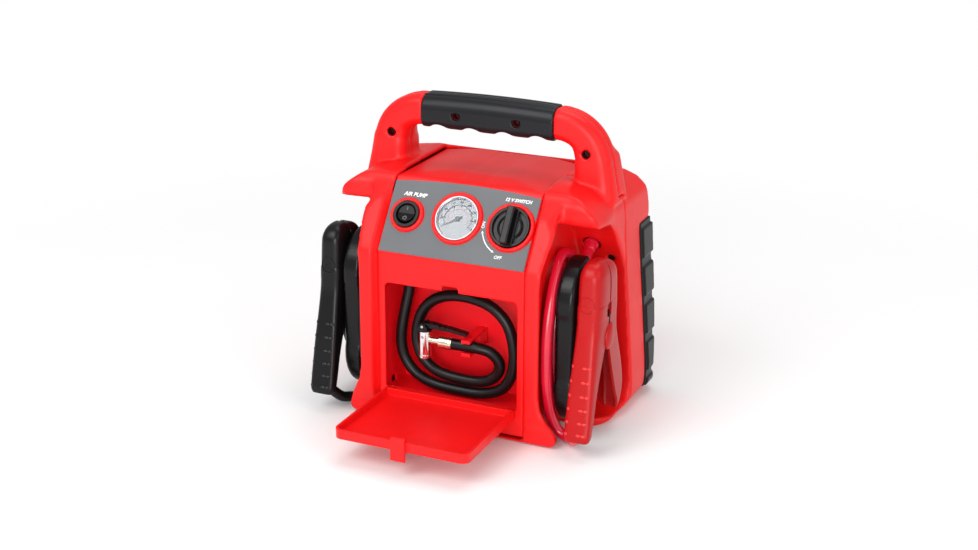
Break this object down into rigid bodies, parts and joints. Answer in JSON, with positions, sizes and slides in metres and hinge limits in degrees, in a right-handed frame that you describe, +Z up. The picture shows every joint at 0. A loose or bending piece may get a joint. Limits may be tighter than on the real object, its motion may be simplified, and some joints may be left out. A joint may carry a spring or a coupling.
{
  "type": "portable jump starter pack",
  "caption": "Portable jump starter with carrying handle, sloping control panel, hose bay behind a drop-down door, side cable recesses with sprung clamps, and a built-in air compressor.",
  "frame": {"origin": "centre of the footprint, on the floor", "axes": "+X to the right seen from the front, -Y towards the person at the controls, +Z up"},
  "size_m": [0.2752, 0.274, 0.2818],
  "materials": {
    "red_shell": "satin moulded red plastic",
    "red_bay": "deeper red moulded plastic",
    "red_clamp": "satin red plastic",
    "red_rubber": "soft red cable sheath",
    "grey_label": "printed grey film",
    "black_grip": "soft black grip",
    "black_gloss": "polished black",
    "black_plastic": "fine textured black",
    "black_rubber": "soft black rubber",
    "white_dial": "printed white",
    "clear_lens": "clear plastic window",
    "steel": "zinc plated",
    "bright_chrome": "polished",
    "copper_jaw": "copper plated",
    "battery_case": "battery case",
    "motor_steel": "drawn can",
    "brass_gear": "machined",
    "die_cast": "die cast",
    "green_board": "board lacquer"
  },
  "bodies": {
    "case": {"front_shell": "red_shell", "rear_shell": "red_shell", "front_panel": "red_shell", "hose_bay": "red_bay", "label_plate": "grey_label", "grip_front": "black_grip", "grip_rear": "black_grip", "door_pins": "steel", "rocker_body": "black_gloss", "gauge_case": "bright_chrome", "gauge_dial": "white_dial", "gauge_lens": "clear_lens", "safety_body": "black_plastic", "air_hose": "black_rubber", "hose_gland": "black_plastic", "hose_ferrule": "bright_chrome", "chuck_head": "black_plastic", "chuck_sleeve": "bright_chrome", "chuck_pin": "steel", "hub_right": "black_plastic", "hub_left": "black_plastic", "gland_right": "black_rubber", "gland_left": "black_rubber", "cable_right": "red_rubber", "cable_left": "black_rubber", "clamp_front_right": "red_clamp", "clamp_pin_right": "steel", "clamp_jaws_front_right": "copper_jaw", "clamp_spring_right": "steel", "clamp_front_left": "black_plastic", "clamp_pin_left": "steel", "clamp_jaws_front_left": "copper_jaw", "clamp_spring_left": "steel", "bumper_right": "black_rubber", "bumper_left": "black_rubber", "handle_screws": "steel", "shell_screws": "steel", "battery": "battery_case", "battery_terminals": "steel", "battery_strap": "steel", "motor": "motor_steel", "crankcase": "die_cast", "pump_cylinder": "die_cast", "pump_head": "die_cast", "circuit_board": "green_board"},
    "door": {"door": "red_shell"},
    "rocker": {"rocker": "black_gloss"},
    "needle": {"gauge_needle": "black_plastic"},
    "knob": {"safety_knob": "black_plastic"},
    "lever": {"chuck_lever": "black_plastic"},
    "clamp_arm_right": {"clamp_rear_right": "red_clamp", "clamp_jaw_rear_right": "copper_jaw"},
    "clamp_arm_left": {"clamp_rear_left": "black_plastic", "clamp_jaw_rear_left": "copper_jaw"},
    "pinion": {"motor_pinion": "brass_gear"},
    "drive": {"drive_gear": "black_plastic"}
  },
  "joints": [
    {"name": "door_hinge", "type": "hinge", "parent": "case", "child": "door", "pos_m": [0, -0.0815, 0.0263], "axis": [-1, 0, 0], "range_deg": [0, 90]},
    {"name": "rocker_hinge", "type": "hinge", "parent": "case", "child": "rocker", "pos_m": [-0.0495, -0.06423, 0.18607], "axis": [1, 0, 0], "range_deg": [0, 16]},
    {"name": "needle_turn", "type": "hinge", "parent": "case", "child": "needle", "pos_m": [-0.0024, -0.0627, 0.18829], "axis": [0, 0.8231, -0.5678], "range_deg": [0, 240], "stiffness_Nm_per_rad": 0.0001},
    {"name": "knob_turn", "type": "hinge", "parent": "case", "child": "knob", "pos_m": [0.0477, -0.06438, 0.18762], "axis": [0, 0.8231, -0.5678], "range_deg": [0, 90]},
    {"name": "lever_hinge", "type": "hinge", "parent": "case", "child": "lever", "pos_m": [-0.03, -0.072, 0.09], "axis": [0, -1, 0], "range_deg": [0, 90]},
    {"name": "clamp_right", "type": "hinge", "parent": "case", "child": "clamp_arm_right", "pos_m": [0.1229, -0.052, 0.1], "axis": [-1, 0, 0], "range_deg": [0, 14], "stiffness_Nm_per_rad": 1.5, "springref_deg": -20.05},
    {"name": "clamp_left", "type": "hinge", "parent": "case", "child": "clamp_arm_left", "pos_m": [-0.1229, -0.052, 0.1], "axis": [-1, 0, 0], "range_deg": [0, 14], "stiffness_Nm_per_rad": 1.5, "springref_deg": -20.05},
    {"name": "drive_spin", "type": "hinge", "parent": "case", "child": "drive", "pos_m": [0.045, 0.04, 0.1606], "axis": [1, 0, 0], "continuous": true},
    {"name": "pinion_spin", "type": "hinge", "parent": "case", "child": "pinion", "pos_m": [0.045, 0.04, 0.1306], "axis": [1, 0, 0], "continuous": true}
  ],
  "couplings": [
    {"joint": "pinion_spin", "follows": "drive_spin", "ratio": -4}
  ]
}
